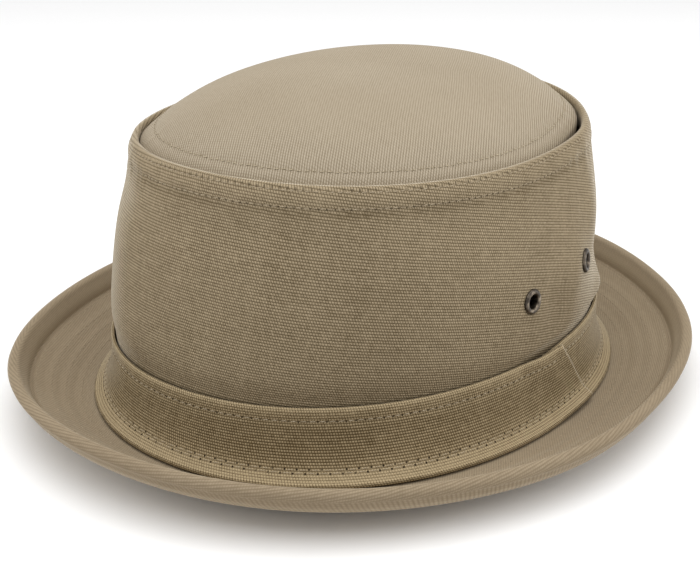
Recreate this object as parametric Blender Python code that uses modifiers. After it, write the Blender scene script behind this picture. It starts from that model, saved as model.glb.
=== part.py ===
# Cotton stingy brim hat: a crown with a puffed top panel set inside its folded rim, a hat band lapped
# on the wearer's left, a narrow brim turned up all round, and four metal ventilation eyelets.
# The front of the hat faces -Y and the wearer's left is +X. It rests on z = 0 on the flat of its brim.

import math

import bmesh
import bpy
from mathutils import Matrix, Vector

MM = 0.001

# Plan of the hat. Widths run side to side and lengths front to back, over the outside of the cloth.
HEAD_WIDTH = 166.8 * MM
HEAD_LENGTH = 207.0 * MM
RIM_WIDTH = 152.8 * MM
RIM_LENGTH = 183.2 * MM
OVAL_POWER = 2.09

# Crown, measured up from the top of the brim where the crown stands on it.
CROWN_HEIGHT = 95.6 * MM
CROWN_BULGE = 3.2 * MM
RIM_SADDLE = 1.4 * MM
RIM_TILT = 1.5 * MM
WALL_THICKNESS = 1.6 * MM
RIM_TURNING = 7.0 * MM
DENT_DEPTH = 2.6 * MM
DENT_FADE = 9.5 * MM

# Top panel, set down a little inside the crown's folded rim.
TOP_THICKNESS = 1.6 * MM
TOP_SET_DOWN = 2.0 * MM
TOP_PUFF = 21.8 * MM
TOP_PUFF_POWER = 4.0
TOP_LEAN = 1.6 * MM
TOP_LEAN_ANGLE = math.radians(30)
TOP_EDGE_ROUND = 0.8 * MM
TOP_TURNING = 5.0 * MM

# Hat band. Its outer end laps over its inner end and lifts off the crown to clear it.
BAND_THICKNESS = 1.6 * MM
BAND_HEIGHT = 22.8 * MM
BAND_REACH = 7.0 * MM
BAND_TILT = 1.2 * MM
BAND_LAP = 11.0 * MM
BAND_LAP_RAMP = 14.0 * MM
JOIN_TOP_ANGLE = math.radians(-0.5)
JOIN_FOOT_ANGLE = math.radians(6.5)

# Brim: flat under the band, then rising to a bend where its edge turns up into the lip.
BRIM_THICKNESS = 2.8 * MM
BRIM_FLAT = 2.0 * MM
BRIM_WIDTH = 23.7 * MM
BRIM_RISE = 11.9 * MM
BRIM_TILT = 0.7 * MM
BRIM_SIDE_TILT = 1.2 * MM
BRIM_SADDLE = 1.8 * MM
BRIM_BEND = 1.6 * MM
BRIM_TURNING = 7.0 * MM
BRIM_INNER_CORNER = 1.1 * MM
LIP_HEIGHT = 6.9 * MM
LIP_LEAN = 4.6 * MM
LIP_SOFTNESS = 0.8 * MM

# Eyelets, two on each side of the crown.
EYELET_DIAMETER = 9.0 * MM
EYELET_BORE = 5.0 * MM
EYELET_METAL = 0.5 * MM
EYELET_ROLL = 1.0 * MM
EYELET_SEAT = 0.45 * MM
EYELET_SPACING = 39.8 * MM
EYELET_HEIGHT = 48.3 * MM
EYELET_BACK_RISE = 3.2 * MM
EYELET_HOLE_DEPTH = 13.0 * MM

# Cloth against cloth, and metal against cloth.
CLEARANCE = 0.3 * MM

# How finely each shape is divided, and how far apart two points are that give a slope.
SEGMENTS = 60
RIM_FOLD_STEPS = 3
BAND_STEPS = 54
BAND_LAP_STEPS = 10
EYELET_SEGMENTS = 16
NEARBY_TURN = math.radians(2)
NEARBY_RISE = 2.0 * MM

# The crown's side from foot to rim: how far up, and how much of CROWN_BULGE it swells.
WALL_SECTIONS = [
    {"height": 0.000, "bulge": 0.00},
    {"height": 0.140, "bulge": 0.00},
    {"height": 0.275, "bulge": 0.00},
    {"height": 0.310, "bulge": 0.45},
    {"height": 0.370, "bulge": 0.84},
    {"height": 0.537, "bulge": 1.00},
    {"height": 0.700, "bulge": 0.93},
    {"height": 0.840, "bulge": 0.58},
    {"height": 0.950, "bulge": 0.17},
    {"height": 1.000, "bulge": 0.00},
]

# Soft dents and swellings in the crown's side: where in degrees, how wide and high, and how deep as a
# share of DENT_DEPTH. A depth below zero swells outwards.
WALL_DENTS = [
    {"angle": -2.0, "spread": 4.0, "height": 0.42, "reach": 0.10, "depth": 0.50},
    {"angle": 22.0, "spread": 7.0, "height": 0.40, "reach": 0.09, "depth": -0.55},
    {"angle": 33.0, "spread": 6.0, "height": 0.55, "reach": 0.16, "depth": 0.75},
    {"angle": 10.0, "spread": 9.0, "height": 0.82, "reach": 0.09, "depth": 0.35},
    {"angle": -30.0, "spread": 12.0, "height": 0.86, "reach": 0.07, "depth": 0.30},
    {"angle": -75.0, "spread": 16.0, "height": 0.84, "reach": 0.06, "depth": 0.40},
    {"angle": -60.0, "spread": 14.0, "height": 0.52, "reach": 0.18, "depth": -0.25},
    {"angle": -125.0, "spread": 13.0, "height": 0.82, "reach": 0.08, "depth": 0.45},
    {"angle": -150.0, "spread": 12.0, "height": 0.50, "reach": 0.16, "depth": -0.30},
    {"angle": 150.0, "spread": 14.0, "height": 0.55, "reach": 0.16, "depth": 0.45},
    {"angle": 95.0, "spread": 15.0, "height": 0.80, "reach": 0.09, "depth": 0.40},
]

# The band from its lower hem to its top edge: how far up, and how much of BAND_REACH it flares.
BAND_SECTIONS = [
    {"height": 0.000, "reach": 1.00},
    {"height": 0.100, "reach": 0.50},
    {"height": 0.240, "reach": 0.19},
    {"height": 0.420, "reach": 0.04},
    {"height": 0.680, "reach": 0.00},
    {"height": 0.940, "reach": 0.00},
    {"height": 1.000, "reach": 0.00},
]

# The underside of the brim from its flat to the bend: shares of BRIM_WIDTH out and of BRIM_RISE up.
BRIM_SECTIONS = [
    {"out": 0.00, "up": 0.00},
    {"out": 0.22, "up": 0.14},
    {"out": 0.60, "up": 0.52},
    {"out": 0.90, "up": 0.86},
    {"out": 1.00, "up": 1.00},
]

# The outside of the lip above the bend: shares of LIP_LEAN out and of LIP_HEIGHT up.
LIP_SECTIONS = [
    {"out": 0.30, "up": 0.30},
    {"out": 1.00, "up": 1.00},
]

# Where the brim's edge leaves its even oval: at what angle in degrees, over how wide a spread, and how
# far out as a share of BRIM_BEND.
BRIM_BENDS = [
    {"angle": -15.0, "spread": 16.0, "out": 1.00},
    {"angle": 58.0, "spread": 16.0, "out": -0.60},
    {"angle": -147.0, "spread": 20.0, "out": -0.60},
]

# The top panel from its edge in to the middle, as shares of its half width.
TOP_SECTIONS = [0.965, 0.90, 0.78, 0.58, 0.33]

# An eyelet's domed flange from its bore out: shares of the flange's width and of EYELET_ROLL.
FLANGE_SECTIONS = [
    {"out": 0.00, "up": 0.60},
    {"out": 0.30, "up": 1.00},
    {"out": 0.75, "up": 0.90},
    {"out": 1.00, "up": 0.30},
    {"out": 0.95, "up": 0.00},
]

SIDES = [{"name": "left", "sign": 1}, {"name": "right", "sign": -1}]
ENDS = [{"name": "front", "sign": -1, "rise": 0}, {"name": "back", "sign": 1, "rise": 1}]


def clear_scene():
    for scene_object in list(bpy.data.objects):
        bpy.data.objects.remove(scene_object)


def new_collection(name):
    collection = bpy.data.collections.new(name)
    bpy.context.scene.collection.children.link(collection)
    return collection


def new_material(name, colour, roughness, metallic):
    material = bpy.data.materials.new(name)
    material.use_nodes = True
    shader = material.node_tree.nodes["Principled BSDF"]
    shader.inputs["Base Color"].default_value = (*colour, 1.0)
    shader.inputs["Roughness"].default_value = roughness
    shader.inputs["Metallic"].default_value = metallic
    material.diffuse_color = (*colour, 1.0)
    return material


def new_object(name, bm, collection, material):
    mesh = bpy.data.meshes.new(name)
    bm.to_mesh(mesh)
    bm.free()
    mesh.materials.append(material)
    mesh.shade_smooth()
    mesh.set_sharp_from_angle(angle=math.radians(50))
    scene_object = bpy.data.objects.new(name, mesh)
    collection.objects.link(scene_object)
    return scene_object


def thicken(scene_object, thickness):
    """Gives an open sheet of cloth its thickness, on the inner side."""
    solidify = scene_object.modifiers.new("Cloth thickness", "SOLIDIFY")
    solidify.thickness = thickness
    solidify.offset = -1
    solidify.use_even_offset = True


def soften_edges(scene_object, width):
    bevel = scene_object.modifiers.new("Soft edges", "BEVEL")
    bevel.width = width
    bevel.segments = 1
    bevel.limit_method = "ANGLE"
    bevel.angle_limit = math.radians(70)


def oval_point(width, length, grow, angle, height):
    """A point on a superellipse, at a distance grow outside it, at an angle of its own sweep."""
    across = math.cos(angle)
    along = math.sin(angle)
    reach = (abs(across) ** OVAL_POWER + abs(along) ** OVAL_POWER) ** (-1 / OVAL_POWER)
    x = (width / 2 + grow) * across * reach
    y = (length / 2 + grow) * along * reach
    return Vector((x, y, height))


def even_angles():
    return [2 * math.pi * step / SEGMENTS for step in range(SEGMENTS)]


def turn_between(angle, degrees):
    """How many degrees an angle lies past a given place, from -180 to 180."""
    return (math.degrees(angle) - degrees + 180) % 360 - 180


def ring_sheet(rows):
    """An open tube of cloth through closed rows of points, and the ring of its last row."""
    bm = bmesh.new()
    bmesh.ops.create_circle(bm, segments=SEGMENTS, radius=1)
    bm.verts.ensure_lookup_table()
    ring = list(bm.verts)
    for vert, point in zip(ring, rows[0]):
        vert.co = point
    for row in rows[1:]:
        grown = bmesh.ops.extrude_edge_only(bm, edges=ring_edges(bm, ring))["geom"]
        new_verts = {v for v in grown if isinstance(v, bmesh.types.BMVert)}
        ring = [
            next(e.other_vert(v) for e in v.link_edges if e.other_vert(v) in new_verts)
            for v in ring
        ]
        for vert, point in zip(ring, row):
            vert.co = point
    return bm, ring


def ring_edges(bm, ring):
    members = set(ring)
    return [edge for edge in bm.edges if members.issuperset(edge.verts)]


def face_away(bm, inside, deciding_faces=None):
    """Turns a sheet's faces away from a point, judged by all of them or by those that are given."""
    bmesh.ops.recalc_face_normals(bm, faces=bm.faces)
    turn = sum(
        face.normal.dot(face.calc_center_median() - inside) * face.calc_area()
        for face in deciding_faces or bm.faces
    )
    if turn < 0:
        bmesh.ops.reverse_faces(bm, faces=bm.faces)


def band_top_height():
    """Height on the crown at which the band ends, at the band's highest place."""
    return CLEARANCE + BAND_THICKNESS + BAND_HEIGHT + BAND_TILT


def crown_plan(height):
    """Width and length of the crown's straight taper, above the band and below it."""
    share = (height - band_top_height()) / (CROWN_HEIGHT - band_top_height())
    share = max(0.0, share)
    width = HEAD_WIDTH + (RIM_WIDTH - HEAD_WIDTH) * share
    length = HEAD_LENGTH + (RIM_LENGTH - HEAD_LENGTH) * share
    return width, length


def bulge_at(height):
    share = height / CROWN_HEIGHT
    for low, high in zip(WALL_SECTIONS, WALL_SECTIONS[1:]):
        if share <= high["height"]:
            part = (share - low["height"]) / (high["height"] - low["height"])
            return CROWN_BULGE * (low["bulge"] + (high["bulge"] - low["bulge"]) * part)
    return 0.0


def dent_at(angle, height):
    """How deep the crown's side is dented at a place. The dents fade out above the band."""
    free = min(1.0, max(0.0, (height - band_top_height()) / DENT_FADE))
    depth = 0.0
    for dent in WALL_DENTS:
        turn = turn_between(angle, dent["angle"])
        rise = height / CROWN_HEIGHT - dent["height"]
        closeness = (turn / dent["spread"]) ** 2 + (rise / dent["reach"]) ** 2
        depth += DENT_DEPTH * dent["depth"] * math.exp(-closeness)
    return free * depth


def rim_wave(angle):
    return RIM_TILT * math.sin(angle) - RIM_SADDLE * math.cos(2 * angle)


def wall_point(angle, height):
    """A point on the outside of the crown's side."""
    width, length = crown_plan(height)
    out = bulge_at(height) - dent_at(angle, height)
    wave = rim_wave(angle) * (height / CROWN_HEIGHT) ** 2
    return oval_point(
        width, length, out, angle, BRIM_THICKNESS + CLEARANCE + height + wave
    )


def rim_point(angle, back, above):
    """A point on the folded rim, at a distance back from the fold line and above it."""
    level = BRIM_THICKNESS + CLEARANCE + CROWN_HEIGHT + rim_wave(angle) + above
    return oval_point(RIM_WIDTH, RIM_LENGTH, -back, angle, level)


def crown_wall(collection, material):
    """The crown's side, with its rim folded over and turned down inside."""
    angles = even_angles()
    rows = [
        [wall_point(angle, section["height"] * CROWN_HEIGHT) for angle in angles]
        for section in WALL_SECTIONS[:-1]
    ]
    fold_depth = 2 * WALL_THICKNESS + CLEARANCE
    for step in range(RIM_FOLD_STEPS + 1):
        turn = math.pi * step / RIM_FOLD_STEPS
        back = fold_depth / 2 * (1 - math.cos(turn))
        above = fold_depth / 2 * (math.sin(turn) - 1)
        rows.append([rim_point(angle, back, above) for angle in angles])
    rows.append([rim_point(angle, fold_depth, -RIM_TURNING) for angle in angles])
    bm, ring = ring_sheet(rows)
    # The turned-in end faces the middle of the hat, so the lowest row decides which way is out.
    foot_level = min(vert.co.z for vert in bm.verts)
    foot = [f for f in bm.faces if any(v.co.z == foot_level for v in f.verts)]
    face_away(bm, Vector((0, 0, 0)), foot)
    wall = new_object("crown_wall", bm, collection, material)
    thicken(wall, WALL_THICKNESS)
    return wall


def top_point(angle, share, set_in):
    """A point on the puffed top panel, at a share of the way from its middle to its edge."""
    x, y, _ = oval_point(RIM_WIDTH, RIM_LENGTH, -set_in, angle, 0)
    puff = 1 - share**TOP_PUFF_POWER
    level = BRIM_THICKNESS + CLEARANCE + CROWN_HEIGHT - TOP_SET_DOWN
    level += rim_wave(angle) * share**2 + TOP_PUFF * puff
    level += TOP_LEAN * math.cos(angle - TOP_LEAN_ANGLE) * share * puff
    return Vector((x * share, y * share, level))


def crown_top(collection, material):
    """The puffed top panel, with its edge turned down inside the crown's rim."""
    angles = even_angles()
    set_in = 2 * WALL_THICKNESS + 2 * CLEARANCE
    turned_down = -(TOP_SET_DOWN + TOP_TURNING)
    rounded = -(TOP_SET_DOWN + TOP_EDGE_ROUND)
    rows = [
        [rim_point(angle, set_in, turned_down) for angle in angles],
        [rim_point(angle, set_in, rounded) for angle in angles],
        [top_point(angle, 1.0, set_in + TOP_EDGE_ROUND) for angle in angles],
    ]
    for share in TOP_SECTIONS:
        rows.append([top_point(angle, share, set_in) for angle in angles])
    bm, ring = ring_sheet(rows)
    middle = bmesh.ops.contextual_create(bm, geom=ring_edges(bm, ring))["faces"]
    pole = bmesh.ops.poke(bm, faces=middle)["verts"][0]
    pole.co = top_point(0.0, 0.0, set_in)
    face_away(bm, Vector((0, 0, 0)))
    top = new_object("crown_top", bm, collection, material)
    thicken(top, TOP_THICKNESS)
    return top


def band_profile():
    """The outside of the band as (out from the head oval, up from the brim), hem first."""
    against_wall = CLEARANCE + BAND_THICKNESS
    return [
        Vector((
            against_wall + BAND_REACH * section["reach"],
            against_wall + BAND_HEIGHT * section["height"],
        ))
        for section in BAND_SECTIONS
    ]


def band_lift(remaining):
    """How far the band's outer end stands off, by the distance that remains to it."""
    stack = BAND_THICKNESS + CLEARANCE
    before_lap = remaining - BAND_LAP
    if before_lap <= 0:
        return stack
    share = min(1.0, before_lap / BAND_LAP_RAMP)
    return stack * (0.5 + 0.5 * math.cos(math.pi * share))


def band_distances(whole):
    """Distances along the band of its columns, closer together where its outer end lifts."""
    lifted = BAND_LAP + BAND_LAP_RAMP
    plain = [(whole - lifted) * step / BAND_STEPS for step in range(BAND_STEPS)]
    ending = [
        whole - lifted + lifted * step / BAND_LAP_STEPS
        for step in range(BAND_LAP_STEPS + 1)
    ]
    return plain + ending


def band_column(profile, distance, perimeter):
    """The band's points from hem to top edge, at a distance along it from its inner end."""
    lift = band_lift(perimeter + BAND_LAP - distance)
    column = []
    for row, place in enumerate(profile):
        before = profile[max(row - 1, 0)]
        after = profile[min(row + 1, len(profile) - 1)]
        run = (after - before).normalized()
        spot = place + lift * Vector((run.y, -run.x))
        share = BAND_SECTIONS[row]["height"]
        join = JOIN_FOOT_ANGLE + (JOIN_TOP_ANGLE - JOIN_FOOT_ANGLE) * share
        angle = join + 2 * math.pi * (distance - BAND_LAP) / perimeter
        level = BRIM_THICKNESS + spot.y + BAND_TILT * math.cos(angle) * share
        column.append(oval_point(HEAD_WIDTH, HEAD_LENGTH, spot.x, angle, level))
    return column


def band_perimeter():
    points = [oval_point(HEAD_WIDTH, HEAD_LENGTH, CLEARANCE, a, 0) for a in even_angles()]
    return sum((points[i] - points[i - 1]).length for i in range(len(points)))


def hat_band(collection, material):
    """A strip of cloth round the crown's foot, flared at its hem, its front end lapped over."""
    profile = band_profile()
    perimeter = band_perimeter()
    distances = band_distances(perimeter + BAND_LAP)
    columns = [band_column(profile, distance, perimeter) for distance in distances]
    bm = bmesh.new()
    bmesh.ops.create_grid(
        bm, x_segments=len(columns) - 1, y_segments=len(profile) - 1, size=1
    )
    bm.verts.ensure_lookup_table()
    for row in range(len(profile)):
        for index, column in enumerate(columns):
            bm.verts[row * len(columns) + index].co = column[row]
    face_away(bm, Vector((0, 0, 0)))
    band = new_object("hat_band", bm, collection, material)
    thicken(band, BAND_THICKNESS)
    return band


def brim_wave(angle):
    tilt = BRIM_TILT * math.sin(angle) - BRIM_SIDE_TILT * math.cos(angle)
    return tilt - BRIM_SADDLE * math.cos(2 * angle)


def brim_bend(angle):
    out = 0.0
    for bend in BRIM_BENDS:
        turn = turn_between(angle, bend["angle"])
        out += BRIM_BEND * bend["out"] * math.exp(-((turn / bend["spread"]) ** 2))
    return out


def brim_point(angle, out, up, freedom):
    """A point under the brim. Its freedom is the share of the edge's waves that it takes."""
    out += freedom * brim_bend(angle)
    level = up + freedom * brim_wave(angle)
    return oval_point(HEAD_WIDTH, HEAD_LENGTH, out, angle, level)


def brim(collection, material):
    """The brim, from its edge turned up inside the crown to the lip turned up outside."""
    angles = even_angles()
    inner = -(WALL_THICKNESS + CLEARANCE + BRIM_THICKNESS)
    foot = CLEARANCE + BAND_THICKNESS + BAND_REACH + BRIM_FLAT
    rows = [
        [brim_point(a, inner, BRIM_THICKNESS + BRIM_TURNING, 0) for a in angles],
        [brim_point(a, inner, BRIM_INNER_CORNER, 0) for a in angles],
        [brim_point(a, inner + BRIM_INNER_CORNER, 0, 0) for a in angles],
    ]
    for section in BRIM_SECTIONS:
        out = foot + BRIM_WIDTH * section["out"]
        up = BRIM_RISE * section["up"]
        rows.append([brim_point(a, out, up, section["up"]) for a in angles])
    for section in LIP_SECTIONS:
        out = foot + BRIM_WIDTH + LIP_LEAN * section["out"]
        up = BRIM_RISE + LIP_HEIGHT * section["up"]
        rows.append([brim_point(a, out, up, 1) for a in angles])
    bm, ring = ring_sheet(rows)
    face_away(bm, Vector((0, 0, BRIM_RISE)))
    whole_brim = new_object("brim", bm, collection, material)
    thicken(whole_brim, BRIM_THICKNESS)
    soften_edges(whole_brim, LIP_SOFTNESS)
    return whole_brim


def angle_along_wall(distance, height):
    """The angle reached by going a distance along the crown's side from the wearer's left."""
    step = NEARBY_TURN / 20
    angle = 0.0
    gone = 0.0
    while gone < distance:
        here = wall_point(angle, height)
        angle += step
        gone += (wall_point(angle, height) - here).length
    return angle


def eyelet_frame(side, end):
    """Where an eyelet sits on the crown: a matrix with its axis, local Z, pointing out."""
    height = EYELET_HEIGHT + EYELET_BACK_RISE * end["rise"]
    angle = end["sign"] * angle_along_wall(EYELET_SPACING / 2, height)
    before = wall_point(angle - NEARBY_TURN, height)
    after = wall_point(angle + NEARBY_TURN, height)
    below = wall_point(angle, height - NEARBY_RISE)
    above = wall_point(angle, height + NEARBY_RISE)
    outward = (after - before).cross(above - below).normalized()
    place = wall_point(angle, height)
    outward.x *= side["sign"]
    place.x *= side["sign"]
    return Matrix.Translation(place) @ outward.to_track_quat("Z", "Y").to_matrix().to_4x4()


def eyelet_profile():
    """Half section of an eyelet as (radius, height), over its flange and back up its bore."""
    bore = EYELET_BORE / 2
    barrel = bore + EYELET_METAL
    flange = EYELET_DIAMETER / 2
    washer = flange - EYELET_METAL
    back = -(WALL_THICKNESS + EYELET_SEAT)
    over = [
        (bore + (flange - bore) * row["out"], EYELET_SEAT + EYELET_ROLL * row["up"])
        for row in FLANGE_SECTIONS
    ]
    return over + [
        (barrel, EYELET_SEAT),
        (barrel, back),
        (washer, back),
        (washer, back - EYELET_METAL),
        (bore, back - EYELET_METAL),
    ]


def eyelet(name, frame, collection, material):
    bm = bmesh.new()
    verts = [bm.verts.new((radius, 0, height)) for radius, height in eyelet_profile()]
    for index in range(len(verts)):
        bm.edges.new((verts[index - 1], verts[index]))
    ring = new_object(name, bm, collection, material)
    screw = ring.modifiers.new("Turned", "SCREW")
    screw.steps = EYELET_SEGMENTS
    screw.render_steps = EYELET_SEGMENTS
    screw.use_merge_vertices = True
    screw.merge_threshold = 0.01 * MM
    ring.matrix_world = frame
    return ring


def pierce(wall, name, frame, cutters):
    """Cuts the hole that an eyelet's barrel passes through."""
    radius = EYELET_BORE / 2 + EYELET_METAL + CLEARANCE
    bm = bmesh.new()
    bmesh.ops.create_cone(
        bm,
        cap_ends=True,
        segments=EYELET_SEGMENTS,
        radius1=radius,
        radius2=radius,
        depth=EYELET_HOLE_DEPTH,
    )
    mesh = bpy.data.meshes.new(name)
    bm.to_mesh(mesh)
    bm.free()
    cutter = bpy.data.objects.new(name, mesh)
    cutter.matrix_world = frame
    cutter.hide_render = True
    cutter.display_type = "WIRE"
    cutters.objects.link(cutter)
    cut = wall.modifiers.new("Cut by " + name, "BOOLEAN")
    cut.operation = "DIFFERENCE"
    cut.solver = "EXACT"
    cut.object = cutter


def build():
    clear_scene()
    parts = new_collection("stingy_brim_hat")
    cutters = new_collection("cutters")
    twill = new_material("Khaki twill", (0.42, 0.36, 0.26), 0.9, 0.0)
    top_twill = new_material("Khaki top twill", (0.45, 0.39, 0.29), 0.9, 0.0)
    canvas = new_material("Khaki ribbed canvas", (0.30, 0.25, 0.17), 0.9, 0.0)
    band_canvas = new_material("Khaki band canvas", (0.25, 0.20, 0.13), 0.9, 0.0)
    metal = new_material("Dark eyelet metal", (0.16, 0.14, 0.12), 0.4, 0.9)
    brim(parts, twill)
    wall = crown_wall(parts, canvas)
    crown_top(parts, top_twill)
    hat_band(parts, band_canvas)
    for side in SIDES:
        for end in ENDS:
            frame = eyelet_frame(side, end)
            name = f"eyelet_{side['name']}_{end['name']}"
            eyelet(name, frame, parts, metal)
            pierce(wall, "hole_" + name, frame, cutters)


build()
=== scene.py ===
import math

import bmesh
import bpy
import numpy as np
from mathutils import Matrix, Vector


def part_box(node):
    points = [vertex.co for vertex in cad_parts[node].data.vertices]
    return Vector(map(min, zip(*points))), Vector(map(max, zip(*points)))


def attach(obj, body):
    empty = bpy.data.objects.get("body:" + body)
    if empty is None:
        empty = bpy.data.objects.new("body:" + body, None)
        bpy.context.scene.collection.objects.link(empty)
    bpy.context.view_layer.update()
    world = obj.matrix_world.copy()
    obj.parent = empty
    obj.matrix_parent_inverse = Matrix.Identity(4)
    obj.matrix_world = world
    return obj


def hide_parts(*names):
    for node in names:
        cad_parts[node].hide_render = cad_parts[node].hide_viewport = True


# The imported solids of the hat, which everything below is dressed on. The front of the hat faces -Y,
# the wearer's left is +X, and the hat rests on z = 0. The camera stands where the photograph was taken.
MM = 0.001
CAMERA_SPOT = Vector((256.4, -372.6, 210.7)) * MM
CAMERA_TURN = math.radians(35.194)
CAMERA_DIP = math.radians(21.920)
CAMERA_ROLL = math.radians(0.502)
CAMERA_LENS = 63.91

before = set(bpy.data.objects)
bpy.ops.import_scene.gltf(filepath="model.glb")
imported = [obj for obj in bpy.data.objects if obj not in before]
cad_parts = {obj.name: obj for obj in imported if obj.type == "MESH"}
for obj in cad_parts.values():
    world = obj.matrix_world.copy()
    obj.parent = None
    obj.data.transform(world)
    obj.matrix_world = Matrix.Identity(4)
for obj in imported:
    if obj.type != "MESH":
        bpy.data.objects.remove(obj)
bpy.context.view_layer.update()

camera = bpy.data.objects.new("camera", bpy.data.cameras.new("camera"))
camera.data.sensor_width = 36
camera.data.lens = CAMERA_LENS
camera.data.clip_start = 10 * MM
camera.matrix_world = (
    Matrix.Translation(CAMERA_SPOT)
    @ Matrix.Rotation(CAMERA_TURN, 4, "Z")
    @ Matrix.Rotation(math.radians(90) - CAMERA_DIP, 4, "X")
    @ Matrix.Rotation(CAMERA_ROLL, 4, "Z")
)
bpy.context.scene.collection.objects.link(camera)
bpy.context.scene.camera = camera


# Brim: two plies of khaki twill over a stiffener, quilted with rounds of stitches about 6 mm apart.
# It is flat where the crown stands on it, rises outwards, and its edge is turned up into a lip.
HEAD_WIDTH = 166.8 * MM
HEAD_LENGTH = 207.0 * MM
OVAL_POWER = 2.09
OVAL_STEPS = 1440
BRIM_THICKNESS = 2.8 * MM
BRIM_FOOT = 10.9 * MM
BRIM_WIDTH = 23.7 * MM
BRIM_TILT = 0.7 * MM
BRIM_SIDE_TILT = 1.2 * MM
BRIM_SADDLE = 1.8 * MM
BRIM_BENDS = [
    {"angle": -15.0, "spread": 16.0, "out": 1.6 * MM, "up": 0.0},
    {"angle": 58.0, "spread": 16.0, "out": -1.0 * MM, "up": 0.0},
    {"angle": -147.0, "spread": 20.0, "out": -1.0 * MM, "up": 0.0},
    {"angle": 45.0, "spread": 25.0, "out": 0.0, "up": -1.1 * MM},
    {"angle": -155.0, "spread": 25.0, "out": 0.0, "up": -1.1 * MM},
]
BRIM_ROW_SPACING = 0.7 * MM
BRIM_COLUMNS = 360
BRIM_ROUNDS = [29 * MM, 35 * MM, 41 * MM, 47 * MM]
BRIM_UNDER_ROUNDS = BRIM_ROUNDS + [52 * MM, 56.5 * MM]
BRIM_STITCH = 2.3 * MM
BRIM_THREAD = 0.24 * MM
LIP_FOOT = 12.0 * MM
LIP_ROLL = 1.6 * MM
LIP_ROLL_WIDTH = 8.0 * MM
LIP_CREASE = 0.7 * MM
LIP_CREASE_REACH = 0.7 * MM
LIP_TOP = 4.5 * MM
LIP_LAID_OUT = 0.6
QUILTING_DEPTH = 0.22 * MM
QUILTING_WIDTH = 1.5 * MM
# The pale colour of the painted sheen that the cloth takes where it turns away from view.
PAINTED_SHEEN_COLOUR = (0.62, 0.55, 0.44, 1)
STITCH_LIFT = 0.2
END_TURNS = np.radians([40, 80, 120, 150])
WELD = 0.001 * MM
BACK = math.radians(90)

# The underside of the brim, from its edge turned up inside the crown out to the lip: millimetres out
# from the head oval and up from the surface that it rests on.
BRIM_UNDERSIDE = [
    (-4.7, 9.8), (-4.7, 0.6), (-3.6, 0.0), (4.0, 0.0), (10.9, 0.0), (16.1, 1.7), (25.1, 6.2),
    (32.2, 10.2), (34.8, 12.0), (36.6, 14.6), (38.6, 17.8),
]

# How much the twill of the underside and of the lip's top is stretched, and how many degrees the
# grain of each is turned from the way round the hat.
UNDER_STRETCH = 1.38
UNDER_BIAS = 15.4
LIP_STRETCH_ROUND = 0.62
LIP_STRETCH_UP = 0.92
LIP_BIAS = -70.0

# Painted light and shade on the lip, at places measured over its ridge and on into the brim: a painted
# highlight along the ridge, painted shade down its outer face, painted light on the inner face of its
# roll and a painted shadow in the crease at the roll's foot. Then how sharp the wales along it are,
# with the places round the hat where they are softer.
LIP_PAINTED_LIGHT = [
    {"beyond": 0.0, "reach": 0.6 * MM, "painted_light": 0.5},
    {"beyond": -4.5 * MM, "reach": 5.0 * MM, "painted_light": -1.2},
    {"beyond": 5.0 * MM, "reach": 3.0 * MM, "painted_light": 0.8},
    {"beyond": LIP_ROLL_WIDTH + 1.4 * MM, "reach": 0.6 * MM, "painted_light": -1.2},
]
LIP_CRISP = 0.5
LIP_CRISP_DOWN = 1.0 * MM
LIP_CRISP_REACH = 3.5 * MM
LIP_SOFTER = [
    {"angle": -178.0, "spread": 38.0, "less": 1.1},
    {"angle": 35.0, "spread": 45.0, "less": 1.0},
]


def oval(width, length, out, angle):
    """Plan of the hat's oval, at a distance out from it: x and y at angles of its own sweep."""
    across = np.cos(angle)
    along = np.sin(angle)
    reach = (np.abs(across) ** OVAL_POWER + np.abs(along) ** OVAL_POWER) ** (-1 / OVAL_POWER)
    return (width / 2 + out) * across * reach, (length / 2 + out) * along * reach


def paced(width, length, start, distances):
    """The angles reached by going distances round an oval from a start angle."""
    turn = np.linspace(-np.pi, 3 * np.pi, 2 * OVAL_STEPS + 1)
    x, y = oval(width, length, 0, start + turn)
    gone = np.concatenate(([0], np.cumsum(np.hypot(np.diff(x), np.diff(y)))))
    return start + np.interp(distances, gone - gone[OVAL_STEPS // 2], turn)


def girth(width, length):
    """The way round an oval, in the same small steps as paced takes."""
    x, y = oval(width, length, 0, np.linspace(0, 2 * np.pi, OVAL_STEPS + 1))
    return float(np.hypot(np.diff(x), np.diff(y)).sum())


def turned(angle, degrees):
    """How many degrees an angle lies past a given place, from -180 to 180."""
    return (np.degrees(angle) - degrees + 180) % 360 - 180


def near_angle(angle, place):
    """1 at a place round the hat, fading out on both sides of it over the place's spread."""
    return np.exp(-((turned(angle, place["angle"]) / place["spread"]) ** 2))


def soft_line(corners, roundings, spacing):
    """Points evenly spaced along a line whose corners are rounded by cutting them off."""
    line = np.array(corners, float)
    for _ in range(roundings):
        cut = np.empty((2 * len(line) - 2, 2))
        cut[0::2] = 0.75 * line[:-1] + 0.25 * line[1:]
        cut[1::2] = 0.25 * line[:-1] + 0.75 * line[1:]
        line = np.vstack([line[:1], cut, line[-1:]])
    gone = lengths_along(line)
    places = np.linspace(0, gone[-1], max(2, round(gone[-1] / spacing)) + 1)
    return np.column_stack([np.interp(places, gone, line[:, axis]) for axis in (0, 1)])


def lengths_along(line):
    steps = np.linalg.norm(np.diff(line, axis=0), axis=1)
    return np.concatenate(([0], np.cumsum(steps)))


def left_of(line):
    """Unit normals on the left of a line's direction, where the back of the cloth is."""
    run = np.gradient(line, axis=0)
    run /= np.linalg.norm(run, axis=1)[:, None]
    return np.column_stack([-run[:, 1], run[:, 0]])


def sunk(face, rounds, depth, width):
    """The face of the cloth pulled in along rounds of stitches, given by their distances up it."""
    places = lengths_along(face)
    pull = sum(np.exp(-(((places - spot) / width) ** 2)) for spot in rounds)
    return face + left_of(face) * (depth * pull)[:, None]


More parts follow.
